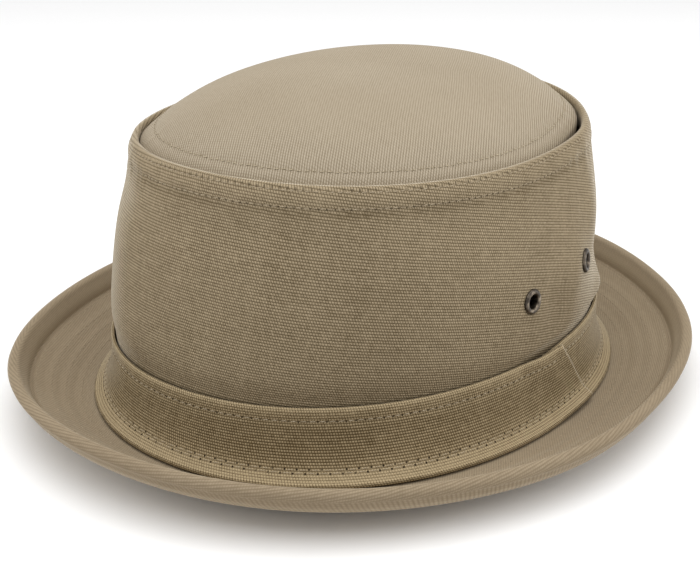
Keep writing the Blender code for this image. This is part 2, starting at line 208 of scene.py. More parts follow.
def cloth_section(face, back_face, skip=1):
    """A closed section of cloth: its face, a rounded end, its back and another rounded end. The
    back keeps one row in skip."""
    back = back_face[::-1]
    back = np.vstack([back[:1], back[1:-1:skip], back[-1:]])
    ends = []
    for last, first, before in ((face[-1], back[0], face[-2]), (back[-1], face[0], back[-2])):
        middle = (last + first) / 2
        half = (last - first) / 2
        way = (last - before) / np.linalg.norm(last - before)
        ends.append([
            middle + half * math.cos(turn) + way * np.linalg.norm(half) * math.sin(turn)
            for turn in END_TURNS
        ])
    return np.vstack([face, ends[0], back, ends[1], face[:1]])


def cloth_piece(name, section, around, place, cuts, layers):
    """Cloth made by carrying a section round the hat on a grid, welded where it meets itself.
    Cuts are (last row, map) pairs, because the faces of a turned piece are cut apart. Each map lays
    the rows up to its last one out flat, in metres on the cloth as it was cut, or as it was stretched.
    Layers are values by place for its material: PaintedLight is how much lighter the cloth is
    painted as a highlight, or darker below 0 as painted shade, and Crisp is how much sharper its weave
    shows."""
    bm = bmesh.new()
    bmesh.ops.create_grid(
        bm, x_segments=len(around) - 1, y_segments=len(section) - 1, size=0.5
    )
    points = np.stack(
        np.broadcast_arrays(*place(around[None, :], section[:, :1], section[:, 1:])), axis=-1
    ).reshape(-1, 3)
    for vert, point in zip(bm.verts, points):
        vert.co = point
    for layer_name, values in layers.items():
        layer = bm.verts.layers.float.new(layer_name)
        shares = np.broadcast_to(values, (len(section), len(around))).reshape(-1)
        for vert, share in zip(bm.verts, shares):
            vert[layer] = share
    bm.verts.index_update()
    cloth_map = bm.loops.layers.uv.new("Cloth")
    maps = [
        (last, np.stack(np.broadcast_arrays(*cut), axis=-1).reshape(-1, 2)) for last, cut in cuts
    ]
    for face in bm.faces:
        row = min(vert.index for vert in face.verts) // len(around)
        spots = next(spots for last, spots in maps if row < last)
        for loop in face.loops:
            loop[cloth_map].uv = spots[loop.vert.index]
    bmesh.ops.remove_doubles(bm, verts=bm.verts, dist=WELD)
    open_ends = [edge for edge in bm.edges if edge.is_boundary]
    if open_ends:
        bmesh.ops.edgeloop_fill(bm, edges=open_ends)
    bmesh.ops.recalc_face_normals(bm, faces=bm.faces)
    return finished(name, bm)


def near(line, spot, reach):
    """1 at a spot along a line, fading out on both sides of it."""
    return np.exp(-(((lengths_along(line) - spot) / reach) ** 2))[:, None]


def painted_light_along(line, start, places):
    """Painted light and shade along a line, at places given by how far beyond a start they lie."""
    return sum(
        place["painted_light"] * near(line, start + place["beyond"], place["reach"]) for place in places
    )


def finished(name, bm):
    mesh = bpy.data.meshes.new(name)
    bm.to_mesh(mesh)
    bm.free()
    mesh.shade_smooth()
    piece = bpy.data.objects.new(name, mesh)
    bpy.context.scene.collection.objects.link(piece)
    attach(piece, "root")
    return piece


def brim_bend(angle, way):
    """How far the brim's edge is bent out or up at an angle."""
    return sum(bend[way] * near_angle(angle, bend) for bend in BRIM_BENDS)


def brim_wave(angle):
    tilt = BRIM_TILT * np.sin(angle) - BRIM_SIDE_TILT * np.cos(angle)
    return tilt - BRIM_SADDLE * np.cos(2 * angle) + brim_bend(angle, "up")


def brim_place(angle, out, up):
    """Carries a point of the brim's section to its place. The edge is free to wave, the foot isn't."""
    freedom = np.clip((out - BRIM_FOOT) / BRIM_WIDTH, 0, 1) ** 1.2
    x, y = oval(HEAD_WIDTH, HEAD_LENGTH, out + freedom * brim_bend(angle, "out"), angle)
    return x, y, up + freedom * brim_wave(angle)


def stitches(name, rounds, thread, gap, slant):
    """Rounds of lockstitches, each stitch a short thread tapering into its two needle holes.
    A round is (place, starts, ends, spot, ahead, outward): where each stitch starts and ends round
    the hat, its point in the section, a point a little further up, and the way out of the cloth.
    Thread is how thick it is, gap the share of a stitch left bare at each end, and slant how far a
    stitch leans up along its length."""
    one = bmesh.new()
    bmesh.ops.create_uvsphere(one, u_segments=6, v_segments=4, radius=1)
    stitch = bpy.data.meshes.new("stitch")
    one.to_mesh(stitch)
    one.free()
    bm = bmesh.new()
    for place, starts, ends, spot, ahead, outward in rounds:
        shorter = gap * (ends - starts)
        spot_out = spot + outward * STITCH_LIFT * thread
        first = np.stack(np.broadcast_arrays(*place(starts + shorter, *spot_out)), axis=-1)
        last = np.stack(np.broadcast_arrays(*place(ends - shorter, *spot_out)), axis=-1)
        above = np.stack(np.broadcast_arrays(*place(starts, *ahead)), axis=-1)
        for a, b, c in zip(first, last, above):
            along = Vector(b - a)
            up = Vector(c - a).normalized()
            along += up * slant * along.length
            side = along.cross(up).normalized() * thread / 2
            lift = along.cross(side).normalized() * thread / 2
            middle = Vector((a + b) / 2)
            frame_of_stitch = Matrix((side, lift, along / 2)).transposed().to_4x4()
            sewn = stitch.copy()
            sewn.transform(Matrix.Translation(middle) @ frame_of_stitch)
            bm.from_mesh(sewn)
            bpy.data.meshes.remove(sewn)
    bpy.data.meshes.remove(stitch)
    return finished(name, bm)


def stitch_round(place, marks, face, spacing, up):
    """One round of stitches between marks round the hat, at a distance up the face of the cloth."""
    row = round(up / spacing)
    outward = -left_of(face)[row]
    return place, marks[:-1], marks[1:], face[row], face[row + 1], outward


class Strand:
    """A value or colour that runs between shader nodes, so that shader maths reads as sums."""

    def __init__(self, tree, socket=None):
        self.tree = tree
        self.socket = socket

    def make(self, kind, settings, inputs, output=0):
        """Any node: its settings first, then the values or links of its sockets."""
        node = self.tree.nodes.new(kind)
        for name, value in settings.items():
            setattr(node, name, value)
        for name, value in inputs.items():
            if isinstance(value, Strand):
                self.tree.links.new(value.socket, node.inputs[name])
            else:
                node.inputs[name].default_value = value
        return Strand(self.tree, node.outputs[output])

    def parts(self, vector):
        """The x and y of a vector."""
        x = self.make("ShaderNodeSeparateXYZ", {}, {0: vector})
        return x, Strand(self.tree, x.socket.node.outputs[1])

    def maths(self, operation, *values):
        return self.make("ShaderNodeMath", {"operation": operation}, dict(enumerate(values)))

    def __add__(self, other):
        return self.maths("ADD", self, other)

    __radd__ = __add__

    def __sub__(self, other):
        return self.maths("SUBTRACT", self, other)

    def __rsub__(self, other):
        return self.maths("SUBTRACT", other, self)

    def __mul__(self, other):
        return self.maths("MULTIPLY", self, other)

    __rmul__ = __mul__

    def __truediv__(self, other):
        return self.maths("DIVIDE", self, other)

    def __pow__(self, other):
        return self.maths("POWER", self, other)

    def ridge(self):
        """A rounded ridge once a turn: 0 at whole numbers and 1 half way between them."""
        return self.maths("SINE", self.maths("FRACT", self) * math.pi)

    def curve(self, points):
        """Runs straight between points, each a value of this and the value given for it."""
        total = points[0][1]
        for (start, before), (end, after) in zip(points, points[1:]):
            limits = {"Value": self, "From Min": start, "From Max": end}
            share = self.make("ShaderNodeMapRange", {}, limits)
            total = share * (after - before) + total
        return total

    def step(self, low, high):
        """Goes smoothly from 0 at low to 1 at high, or from 1 to 0 where low is the greater."""
        limits = {"Value": self, "From Min": low, "From Max": high}
        return self.make("ShaderNodeMapRange", {"interpolation_type": "SMOOTHSTEP"}, limits)

    def blend(self, first, second):
        """The first colour where this is 0 and the second where it is 1."""
        colours = {0: self, 6: first, 7: second}
        return self.make("ShaderNodeMix", {"data_type": "RGBA"}, colours, 2)

    def noise(self, vector, scale, detail=2.0):
        inputs = {"Vector": vector, "Scale": scale, "Detail": detail}
        return self.make("ShaderNodeTexNoise", {}, inputs)

    def combined(self, x, y):
        return self.make("ShaderNodeCombineXYZ", {}, {0: x, 1: y})


def new_material(name, roughness, sheen):
    material = bpy.data.materials.new(name)
    material.use_nodes = True
    shader = material.node_tree.nodes["Principled BSDF"]
    shader.inputs["Roughness"].default_value = roughness
    shader.inputs["Sheen Weight"].default_value = sheen
    shader.inputs["Sheen Roughness"].default_value = 0.4
    shader.inputs["Sheen Tint"].default_value = (0.75, 0.62, 0.42, 1)
    shader.inputs["Specular IOR Level"].default_value = 0.15
    return material, shader, Strand(material.node_tree)


def finish_cloth(shader, colour, height, depth, strength, painted_sheen):
    """Feeds a cloth's colour and the relief of its weave to its shader. Where the cloth turns away from
    view its colour is blended towards a pale fuzz colour: a painted sheen of the fuzz on the yarn."""
    tree = colour.tree
    facing = colour.make("ShaderNodeLayerWeight", {}, {"Blend": 0.5}, 1)
    colour = (facing.step(0.6, 1.0) * (height * 0.6 + 0.4) * painted_sheen).blend(colour, PAINTED_SHEEN_COLOUR)
    bump = colour.make(
        "ShaderNodeBump", {}, {"Height": height, "Distance": depth, "Strength": strength}
    )
    tree.links.new(colour.socket, shader.inputs["Base Color"])
    tree.links.new(bump.socket, shader.inputs["Normal"])


PAINTED_LIGHT_ON_TWILL = 0.25
WALE_WAY = (0.882, 0.471)
FLOAT_WAY = (-0.148, 0.989)
BRIM_WALE = 0.78 * MM
BRIM_FLOAT = 0.94 * MM


def twill_material(name, light, dark, wale, float_pitch, contrast, depth, painted_sheen):
    """Twill: slanting wales with a coarser diagonal of floats over them. Both run straight across
    the flat cloth, so they follow its UV map."""
    material, shader, strand = new_material(name, 0.9, 0.05)
    cloth = strand.make("ShaderNodeUVMap", {"uv_map": "Cloth"}, {})
    x, y = strand.parts(cloth)
    wander = strand.noise(cloth, 90.0) - 0.5
    wales = (x * WALE_WAY[0] + y * WALE_WAY[1]) / wale + wander * 0.5
    floats = (x * FLOAT_WAY[0] + y * FLOAT_WAY[1]) / float_pitch + wander * 0.5
    yarn = strand.noise(strand.combined(wales, floats * 0.3), 1.1)
    height = wales.ridge() * (0.55 + 0.45 * floats.ridge()) + (yarn - 0.5) * 0.3
    patches = strand.noise(cloth, 22.0) - 0.5
    painted_light = strand.make("ShaderNodeAttribute", {"attribute_name": "PaintedLight"}, {}, 2)
    crisp = 1 + strand.make("ShaderNodeAttribute", {"attribute_name": "Crisp"}, {}, 2)
    tone = 0.5 + (height - 0.45) * contrast * crisp + (yarn - 0.5) * 0.2
    # The PaintedLight layer paints highlights into the tone, and painted shade where it is below 0.
    tone = tone + patches * 0.3 + painted_light * PAINTED_LIGHT_ON_TWILL
    colour = tone.step(0.0, 1.0).blend(dark, light)
    finish_cloth(shader, colour, height * crisp, depth, 0.7, painted_sheen)
    return material


def thread_material(name, light, dark):
    """Two-ply cotton thread: a slow twist of lighter and darker along it."""
    material, shader, strand = new_material(name, 0.8, 0.1)
    spot = strand.make("ShaderNodeTexCoord", {}, {}, "Object")
    plies = strand.noise(spot, 1600.0)
    finish_cloth(shader, plies.step(0.3, 0.7).blend(dark, light), plies, 0.15 * MM, 0.5, 0.4)
    return material


def on_bias(around, up, degrees):
    """A map turned on the cloth, for a ply cut at an angle to its grain."""
    turn = math.radians(degrees)
    across = around * math.cos(turn) - up * math.sin(turn)
    return across, around * math.sin(turn) + up * math.cos(turn)


def rolled(upper):
    """The upper face of the brim, swelling into a roll along its edge, with a crease at its foot."""
    to_edge = lengths_along(upper)[-1] - lengths_along(upper)
    swell = LIP_ROLL * (1 - np.clip(to_edge / LIP_ROLL_WIDTH, 0, 1) ** 2.5)
    crease = LIP_CREASE * np.exp(-(((to_edge - LIP_ROLL_WIDTH) / LIP_CREASE_REACH) ** 2))
    return upper + left_of(upper) * (swell - crease)[:, None]


def brim_cut(angle, out, up):
    """Where a point of the brim lies on its flat cut, with the lip laid out flat again."""
    laid_out = LIP_LAID_OUT * np.clip(up - LIP_FOOT, 0, None)
    return oval(HEAD_WIDTH, HEAD_LENGTH, out + laid_out, angle)


brim_face = soft_line(np.array(BRIM_UNDERSIDE) * MM, 3, BRIM_ROW_SPACING)
brim_row = lengths_along(brim_face)[1]
brim_total = girth(HEAD_WIDTH, HEAD_LENGTH)
brim_upper = brim_face + left_of(brim_face) * BRIM_THICKNESS
brim_under = sunk(brim_face, BRIM_UNDER_ROUNDS, QUILTING_DEPTH, QUILTING_WIDTH)
brim_over = rolled(sunk(brim_upper, BRIM_ROUNDS, -QUILTING_DEPTH, QUILTING_WIDTH))
brim_section = cloth_section(brim_under, brim_over)
brim_plain = cloth_section(brim_face, brim_upper)
brim_around = np.linspace(0, brim_total, BRIM_COLUMNS + 1)
brim_angles = paced(HEAD_WIDTH, HEAD_LENGTH, BACK, brim_around)
# The ridge of the lip is the last row of the section's rounded end.
brim_ridge = len(brim_face) + len(END_TURNS) - 1
brim_lengths = lengths_along(brim_plain)
ridge_length = brim_lengths[brim_ridge]
lip_start = int(np.searchsorted(brim_lengths, ridge_length - LIP_TOP))
under_map = on_bias(
    brim_around[None, :] / UNDER_STRETCH, brim_lengths[:, None] / UNDER_STRETCH, UNDER_BIAS
)
lip_map = on_bias(
    brim_around[None, :] / LIP_STRETCH_ROUND, brim_lengths[:, None] / LIP_STRETCH_UP, LIP_BIAS
)
softer = sum(place["less"] * near_angle(brim_angles, place) for place in LIP_SOFTER)
brim = cloth_piece(
    "brim_cloth",
    brim_section,
    brim_angles,
    brim_place,
    [
        (lip_start, under_map),
        (brim_ridge, lip_map),
        (len(brim_plain), brim_cut(brim_angles[None, :], brim_plain[:, :1], brim_plain[:, 1:])),
    ],
    {
        "PaintedLight": painted_light_along(brim_plain, ridge_length, LIP_PAINTED_LIGHT),
        "Crisp": near(brim_plain, ridge_length - LIP_CRISP_DOWN, LIP_CRISP_REACH)
        * (LIP_CRISP - softer),
    },
)
brim.data.materials.append(
    twill_material(
        "brim twill",
        light=(0.385, 0.31, 0.212, 1),
        dark=(0.195, 0.148, 0.094, 1),
        wale=BRIM_WALE,
        float_pitch=BRIM_FLOAT,
        contrast=0.30,
        depth=0.08 * MM,
        painted_sheen=0.30,
    )
)
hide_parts("brim")

brim_marks = paced(
    HEAD_WIDTH, HEAD_LENGTH, BACK, np.linspace(0, brim_total, round(brim_total / BRIM_STITCH) + 1)
)
# The upper face is read from the lip inwards, so that it too has its outside on its right.
brim_in = [lengths_along(brim_face)[-1] - up for up in BRIM_ROUNDS]
brim_thread = stitches(
    "brim_stitches",
    [
        stitch_round(brim_place, brim_marks[::-1], brim_over[::-1], brim_row, up) for up in brim_in
    ]
    + [stitch_round(brim_place, brim_marks, brim_under, brim_row, up) for up in BRIM_ROUNDS],
    thread=BRIM_THREAD,
    gap=0.16,
    slant=0.05,
)
khaki_thread = thread_material(
    "khaki thread", light=(0.40, 0.33, 0.23, 1), dark=(0.26, 0.205, 0.135, 1)
)
brim_thread.data.materials.append(khaki_thread)


# Crown side: a ribbed canvas, its ribs running round the head from a join at the centre back. Its top
# edge is folded over into a thin raised rim, sewn through just under the fold and again 7 mm down.
RIM_WIDTH = 152.8 * MM
RIM_LENGTH = 183.2 * MM
WALL_FOOT = BRIM_THICKNESS + 0.3 * MM
WALL_HEIGHT = 95.6 * MM
WALL_CLOTH = 0.9 * MM
RIM_FOLD = 1.8 * MM
RIM_STEP = 0.7 * MM
RIM_TURNING = 7.0 * MM
CROWN_BULGE = 3.2 * MM
RIM_SADDLE = 1.4 * MM
RIM_TILT = 1.5 * MM
BAND_TOP = 25.9 * MM
BAND_TILT = 1.2 * MM
DENT_DEPTH = 2.6 * MM
DENT_FADE = 4.5 * MM
RIB = 0.965 * MM
BEAD = 0.87 * MM
WALL_SLANT = 0.38
BEAD_SHIFT = 0.20
GRAIN_MIDDLE = -98.0
GRAIN_RADIUS = 530 * MM
WALL_ROW_SPACING = 1.0 * MM
PAINTED_LIGHT_ON_CANVAS = 0.30
WALL_COLUMNS = 380
WALL_STITCH = 2.6 * MM
WALL_THREAD = 0.36 * MM
RIM_SEAMS = [
    {"down": 1.5 * MM, "depth": 0.30 * MM, "width": 0.9 * MM, "holes": 0.45},
    {"down": 7.2 * MM, "depth": 0.65 * MM, "width": 1.2 * MM, "holes": 0.60},
]
# Painted light along the crown's side, beyond the fold of its rim: a painted highlight on the fold, the
# strip between the seams a little lighter, and a painted shadow under the lower seam.
RIM_PAINTED_LIGHT = [
    {"beyond": 0.0, "reach": 0.9 * MM, "painted_light": 1.0},
    {"beyond": -4.0 * MM, "reach": 2.5 * MM, "painted_light": 0.15},
    {"beyond": -RIM_SEAMS[1]["down"] - 1.6 * MM, "reach": 1.1 * MM, "painted_light": -0.5},
]
BAND_SHADE = {"down": 1.4 * MM, "reach": 1.0 * MM, "painted_light": -1.3}
HOLE_EDGE = 0.50 * MM
HOLE_HEART = 0.18 * MM
HOLE_COLOUR = (0.03, 0.020, 0.010, 1)
WALL_SECTIONS = [
    {"height": 0.000, "bulge": 0.00},
    {"height": 0.140, "bulge": 0.00},
    {"height": 0.275, "bulge": 0.00},
    {"height": 0.310, "bulge": 0.45},
    {"height": 0.370, "bulge": 0.84},
    {"height": 0.537, "bulge": 1.00},
    {"height": 0.700, "bulge": 0.93},
    {"height": 0.840, "bulge": 0.58},
    {"height": 0.950, "bulge": 0.17},
]
WALL_DENTS = [
    {"angle": -2.0, "spread": 4.0, "height": 0.42, "reach": 0.10, "depth": 0.50},
    {"angle": 5.0, "spread": 8.0, "height": 0.52, "reach": 0.13, "depth": -0.55},
    {"angle": 30.0, "spread": 11.0, "height": 0.46, "reach": 0.12, "depth": 0.85},
    {"angle": 30.0, "spread": 9.0, "height": 0.31, "reach": 0.045, "depth": -0.90},
    {"angle": -8.0, "spread": 14.0, "height": 0.31, "reach": 0.030, "depth": -0.25},
    {"angle": 19.0, "spread": 5.0, "height": 0.72, "reach": 0.16, "depth": -0.50},
    {"angle": 25.0, "spread": 15.0, "height": 0.98, "reach": 0.18, "depth": -0.40},
    {"angle": -30.0, "spread": 12.0, "height": 0.86, "reach": 0.07, "depth": 0.30},
    {"angle": -75.0, "spread": 16.0, "height": 0.84, "reach": 0.06, "depth": 0.40},
    {"angle": -60.0, "spread": 14.0, "height": 0.52, "reach": 0.18, "depth": -0.25},
    {"angle": -125.0, "spread": 13.0, "height": 0.82, "reach": 0.08, "depth": 0.45},
    {"angle": -150.0, "spread": 12.0, "height": 0.50, "reach": 0.16, "depth": -0.30},
    {"angle": 150.0, "spread": 14.0, "height": 0.55, "reach": 0.16, "depth": 0.45},
    {"angle": 95.0, "spread": 15.0, "height": 0.80, "reach": 0.09, "depth": 0.40},
]


def rim_wave(angle):
    return RIM_TILT * np.sin(angle) - RIM_SADDLE * np.cos(2 * angle)


def dents(angle, up):
    """How deep the crown's side is dented at a place. The dents fade out above the band."""
    free = np.clip((up - BAND_TOP) / DENT_FADE, 0, 1)
    return free * sum(
        DENT_DEPTH
        * dent["depth"]
        * near_angle(angle, dent)
        * np.exp(-(((up / WALL_HEIGHT - dent["height"]) / dent["reach"]) ** 2))
        for dent in WALL_DENTS
    )


def puckers(angle, up, height, depth, reach):
    """Small uneven waves that a seam at a height draws into the cloth round it."""
    waves = np.sin(41 * angle + 1.3) + np.sin(67 * angle + 0.4) + np.sin(97 * angle + 2.1)
    return depth * waves / 3 * np.exp(-(((up - height) / reach) ** 2))


def wall_place(angle, out, up):
    """Carries a point of the crown's section to its place: the crown narrows above the band."""
    share = np.clip((up - BAND_TOP) / (WALL_HEIGHT - BAND_TOP), 0, None)
    width = HEAD_WIDTH + (RIM_WIDTH - HEAD_WIDTH) * share
    length = HEAD_LENGTH + (RIM_LENGTH - HEAD_LENGTH) * share
    seam = puckers(
        angle, up, WALL_HEIGHT - RIM_SEAMS[1]["down"], depth=0.25 * MM, reach=5 * MM
    )
    x, y = oval(width, length, out - dents(angle, up) + seam, angle)
    wave = rim_wave(angle) * np.clip(up / WALL_HEIGHT, 0, None) ** 2
    return x, y, WALL_FOOT + up + wave


def canvas_material(name, light, dark, weave, marks, painted_shading, painted_sheen):
    """Ribbed canvas. The weave gives the pitch of its ribs and beads, how far a bead slants over its
    rib and how far the beads of the next rib are shifted, both as shares of a bead. Where the cloth
    was cut as a flat arc, its ribs run straight across that arc, whose middle, radius and level are
    given. Marks are rounds of needle holes: how far up the cloth, where the first one is, their
    pitch and how dark they are. Painted shading is (height, amount) pairs of painted light and shade
    that lighten or darken the cloth from its foot to its top edge."""
    material, shader, strand = new_material(name, 0.92, 0.05)
    cloth = strand.make("ShaderNodeUVMap", {"uv_map": "Cloth"}, {})
    round_hat, up_cloth = strand.parts(cloth)
    across, rise = round_hat, up_cloth
    if "radius" in weave:
        turn = (round_hat - weave["middle"]) / weave["radius"]
        reach = weave["radius"] + weave["level"] - up_cloth
        across = reach * turn.maths("SINE", turn)
        rise = weave["radius"] - reach * turn.maths("COSINE", turn)
    ribs = rise / weave["rib"]
    rib_number = ribs.maths("FLOOR", ribs)
    slub = strand.noise(strand.combined(across * 90.0, rib_number * 1.7), 1.0) - 0.5
    lag = ribs * weave["slant"] + rib_number * weave["shift"]
    beads = across / weave["bead"] + lag + slub * 0.4
    bead_number = beads.maths("FLOOR", beads)
    yarn = strand.noise(strand.combined(bead_number * 0.9, rib_number * 3.1), 1.0, 0.0) - 0.5
    streaks = strand.noise(strand.combined(across * 160.0, rise * 9.0), 1.0) - 0.5
    patches = strand.noise(cloth, 22.0) - 0.5
    height = ribs.ridge() ** 0.7 * (0.15 + 0.85 * beads.ridge() ** 0.7)
    painted_light = strand.make("ShaderNodeAttribute", {"attribute_name": "PaintedLight"}, {}, 2)
    tone = height * 0.72 + 0.10 + yarn * 0.35 + slub * 0.25 + streaks * 0.15 + patches * 0.25
    # Painted shading up the cloth, then the PaintedLight layer: painted highlights along the folds,
    # serrated by the beads, and painted shade where it is below 0.
    tone = tone + up_cloth.curve(painted_shading) + painted_light * (beads.ridge() * 1.4 - 0.1) * PAINTED_LIGHT_ON_CANVAS
    colour = tone.step(0.0, 1.0).blend(dark, light)
    for mark in marks:
        turns = (round_hat - mark["first"]) / mark["pitch"]
        beside = turns.maths("PINGPONG", turns, 0.5) * mark["pitch"]
        away = up_cloth - mark["up"]
        distance = (beside * beside + away * away) ** 0.5
        uneven = strand.noise(strand.combined(round_hat * 110.0, mark["up"] * 2000.0), 1.0)
        hole = distance.step(HOLE_EDGE, HOLE_HEART) * uneven.step(0.25, 0.52)
        colour = (hole * mark["strength"]).blend(colour, HOLE_COLOUR)
        height = height - hole * 0.8
    finish_cloth(shader, colour, height, 0.32 * MM, 0.9, painted_sheen)
    return material


wall_corners = [
    (CROWN_BULGE * section["bulge"], WALL_HEIGHT * section["height"]) for section in WALL_SECTIONS
] + [(0, WALL_HEIGHT), (-RIM_FOLD, WALL_HEIGHT), (-RIM_FOLD, WALL_HEIGHT - RIM_TURNING)]
wall_face = soft_line(wall_corners, 3, WALL_ROW_SPACING)
wall_row = lengths_along(wall_face)[1]
rim_length = float(lengths_along(wall_face)[np.argmax(wall_face[:, 1])])
wall_rounds = [rim_length - seam["down"] for seam in RIM_SEAMS]
wall_girth = girth((HEAD_WIDTH + RIM_WIDTH) / 2, (HEAD_LENGTH + RIM_LENGTH) / 2)
wall_around = np.linspace(0, wall_girth, WALL_COLUMNS + 1)


def wall_angles(distances):
    return paced(
        (HEAD_WIDTH + RIM_WIDTH) / 2, (HEAD_LENGTH + RIM_LENGTH) / 2, BACK, distances
    )


wall_back = wall_face + left_of(wall_face) * WALL_CLOTH
wall_doubled = lengths_along(wall_face) > wall_rounds[1] - RIB
wall_stepped = wall_face - left_of(wall_face) * (RIM_STEP * wall_doubled)[:, None]
wall_sewn = wall_stepped
for up, seam in zip(wall_rounds, RIM_SEAMS):
    wall_sewn = sunk(wall_sewn, [up], seam["depth"], seam["width"])
wall_plain = cloth_section(wall_face, wall_back, skip=3)
band_line = BAND_TOP - BAND_SHADE["down"] + BAND_TILT * np.cos(wall_angles(wall_around))
over_band = wall_plain[:, 1:] - band_line
wall = cloth_piece(
    "crown_wall_cloth",
    cloth_section(wall_sewn, wall_back, skip=3),
    wall_angles(wall_around),
    wall_place,
    [(len(wall_plain), (wall_around[None, :], lengths_along(wall_plain)[:, None]))],
    {
        "PaintedLight": painted_light_along(wall_plain, rim_length, RIM_PAINTED_LIGHT)
        + BAND_SHADE["painted_light"] * np.exp(-((over_band / BAND_SHADE["reach"]) ** 2))
    },
)
wall_marks = round(wall_girth / WALL_STITCH)
wall.data.materials.append(
    canvas_material(
        "crown canvas",
        light=(0.377, 0.30, 0.195, 1),
        dark=(0.102, 0.072, 0.035, 1),
        weave={
            "rib": RIB,
            "bead": BEAD,
            "slant": WALL_SLANT,
            "shift": BEAD_SHIFT,
            "middle": (GRAIN_MIDDLE + 270) / 360 * wall_girth,
            "radius": GRAIN_RADIUS,
            "level": WALL_HEIGHT / 2,
        },
        marks=[
            {"up": up, "first": 0.0, "pitch": wall_girth / wall_marks, "strength": seam["holes"]}
            for up, seam in zip(wall_rounds, RIM_SEAMS)
        ],
        # Painted shading: a little darker at the foot, lighter at the band's top and at the rim.
        painted_shading=[(0.0, -0.02), (BAND_TOP, 0.03), (45 * MM, 0.0), (rim_length, 0.03)],
        painted_sheen=0.75,
    )
)
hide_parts("crown_wall")

wall_mark_angles = wall_angles(np.linspace(0, wall_girth, wall_marks + 1))
wall_thread = stitches(
    "crown_stitches",
    [stitch_round(wall_place, wall_mark_angles, wall_sewn, wall_row, up) for up in wall_rounds],
    thread=WALL_THREAD,
    gap=0.14,
    slant=0.12,
)
wall_thread.data.materials.append(khaki_thread)


# Crown top: one oval of twill, puffed up over its interlining, with its edge turned down inside the
# crown's rim and one round of stitches 5 mm in from the edge.
TOP_SET_IN = 2.4 * MM
TOP_SET_DOWN = 1.4 * MM
TOP_PUFF = 21.8 * MM
TOP_PUFF_POWER = 3.4
TOP_LEAN = 0.9 * MM
TOP_GAP = {"angle": 18.0, "spread": 14.0, "gap": 1.3 * MM}
TOP_LEAN_ANGLE = math.radians(30)
TOP_CLOTH = 1.4 * MM
TOP_TURNING = 5.0 * MM
TOP_COLUMNS = 300
TOP_STITCH = 2.6 * MM
TOP_THREAD = 0.30 * MM
TOP_ROUND_IN = 5.2 * MM
TOP_GROOVE = 0.50 * MM
TOP_GROOVE_WIDTH = 1.3 * MM
TOP_THREAD_DOWN = 0.3 * MM
TOP_SHADE = 1.5
TOP_SHADE_REACH = 2.8 * MM
SEAM_SHADE_REACH = 0.6 * MM
TOP_CRISP = 1.9
TOP_CRISP_REACH = 16 * MM
TOP_WALE = 0.83 * MM
TOP_FLOAT = 0.94 * MM
top_middle = (RIM_WIDTH + RIM_LENGTH) / 4 - TOP_SET_IN


def top_place(angle, share, down):
    """Carries a point of the top panel to its place, by its share of the way from the middle out.
    On the wearer's left the rim stands off it."""
    gap = TOP_GAP["gap"] * near_angle(angle, TOP_GAP)
    x, y = oval(RIM_WIDTH, RIM_LENGTH, -TOP_SET_IN - gap, angle)
    puff = 1 - np.abs(share) ** TOP_PUFF_POWER
    level = WALL_FOOT + WALL_HEIGHT - TOP_SET_DOWN + rim_wave(angle) * share**2
    lean = TOP_LEAN * np.cos(angle - TOP_LEAN_ANGLE) * share * puff
    seam = puckers(
        angle, share * top_middle, top_middle - TOP_ROUND_IN, depth=0.3 * MM, reach=4 * MM
    )
    return x * share, y * share, level + TOP_PUFF * puff + lean + seam + down


top_shares = 1 - np.linspace(0, 1, 61) ** 1.35
groove_share = 1 - TOP_ROUND_IN / top_middle
from_groove = (top_shares - groove_share) * top_middle
groove = -TOP_GROOVE * np.exp(-((from_groove / TOP_GROOVE_WIDTH) ** 2))
top_face = np.vstack([
    [(1.0, -TOP_TURNING), (1.0, -TOP_TURNING / 2), (1.0, -1.2 * MM), (0.999, -0.5 * MM)],
    np.column_stack([top_shares, groove])[1:],
])
top_under = np.vstack([
    [(0.0, -TOP_CLOTH)],
    np.column_stack([top_shares[-4:0:-4], np.full(len(top_shares[-4:0:-4]), -TOP_CLOTH)]),
    [(1 - 1.6 * TOP_CLOTH / top_middle, -1.6 * TOP_CLOTH)],
    [(1 - TOP_CLOTH / top_middle, -TOP_TURNING)],
])
top_girth = girth(RIM_WIDTH - 2 * TOP_SET_IN, RIM_LENGTH - 2 * TOP_SET_IN)
top_around = np.linspace(0, top_girth, TOP_COLUMNS + 1)


def top_angles(distances):
    return paced(RIM_WIDTH, RIM_LENGTH, BACK, distances * girth(RIM_WIDTH, RIM_LENGTH) / top_girth)


top_section = np.vstack([top_face, top_under, top_face[:1]])


def oval_cut(angle, share):
    """Where a point of the top panel lies on its flat cut."""
    x, y = oval(RIM_WIDTH, RIM_LENGTH, -TOP_SET_IN, angle)
    return x * share, y * share


top_in = (1 - top_section[:, :1]) * top_middle
uneven = puckers(top_angles(top_around)[None, :], up=0, height=0, depth=1.0, reach=1.0)
seam_shade = np.clip(0.5 + 1.5 * uneven, 0, 1.2)
top = cloth_piece(
    "crown_top_cloth",
    top_section,
    top_angles(top_around),
    top_place,
    [(len(top_section), oval_cut(top_angles(top_around)[None, :], top_section[:, :1]))],
    {
        "PaintedLight": -TOP_SHADE * np.exp(-((top_in / TOP_SHADE_REACH) ** 4))
        - seam_shade * np.exp(-(((top_in - TOP_ROUND_IN) / SEAM_SHADE_REACH) ** 2)),
        "Crisp": TOP_CRISP * np.exp(-((top_in / TOP_CRISP_REACH) ** 2)),
    },
)
top.data.materials.append(
    twill_material(
        "top twill",
        light=(0.392, 0.332, 0.248, 1),
        dark=(0.245, 0.195, 0.13, 1),
        wale=TOP_WALE,
        float_pitch=TOP_FLOAT,
        contrast=0.50,
        depth=0.16 * MM,
        painted_sheen=0.15,
    )
)
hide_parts("crown_top")

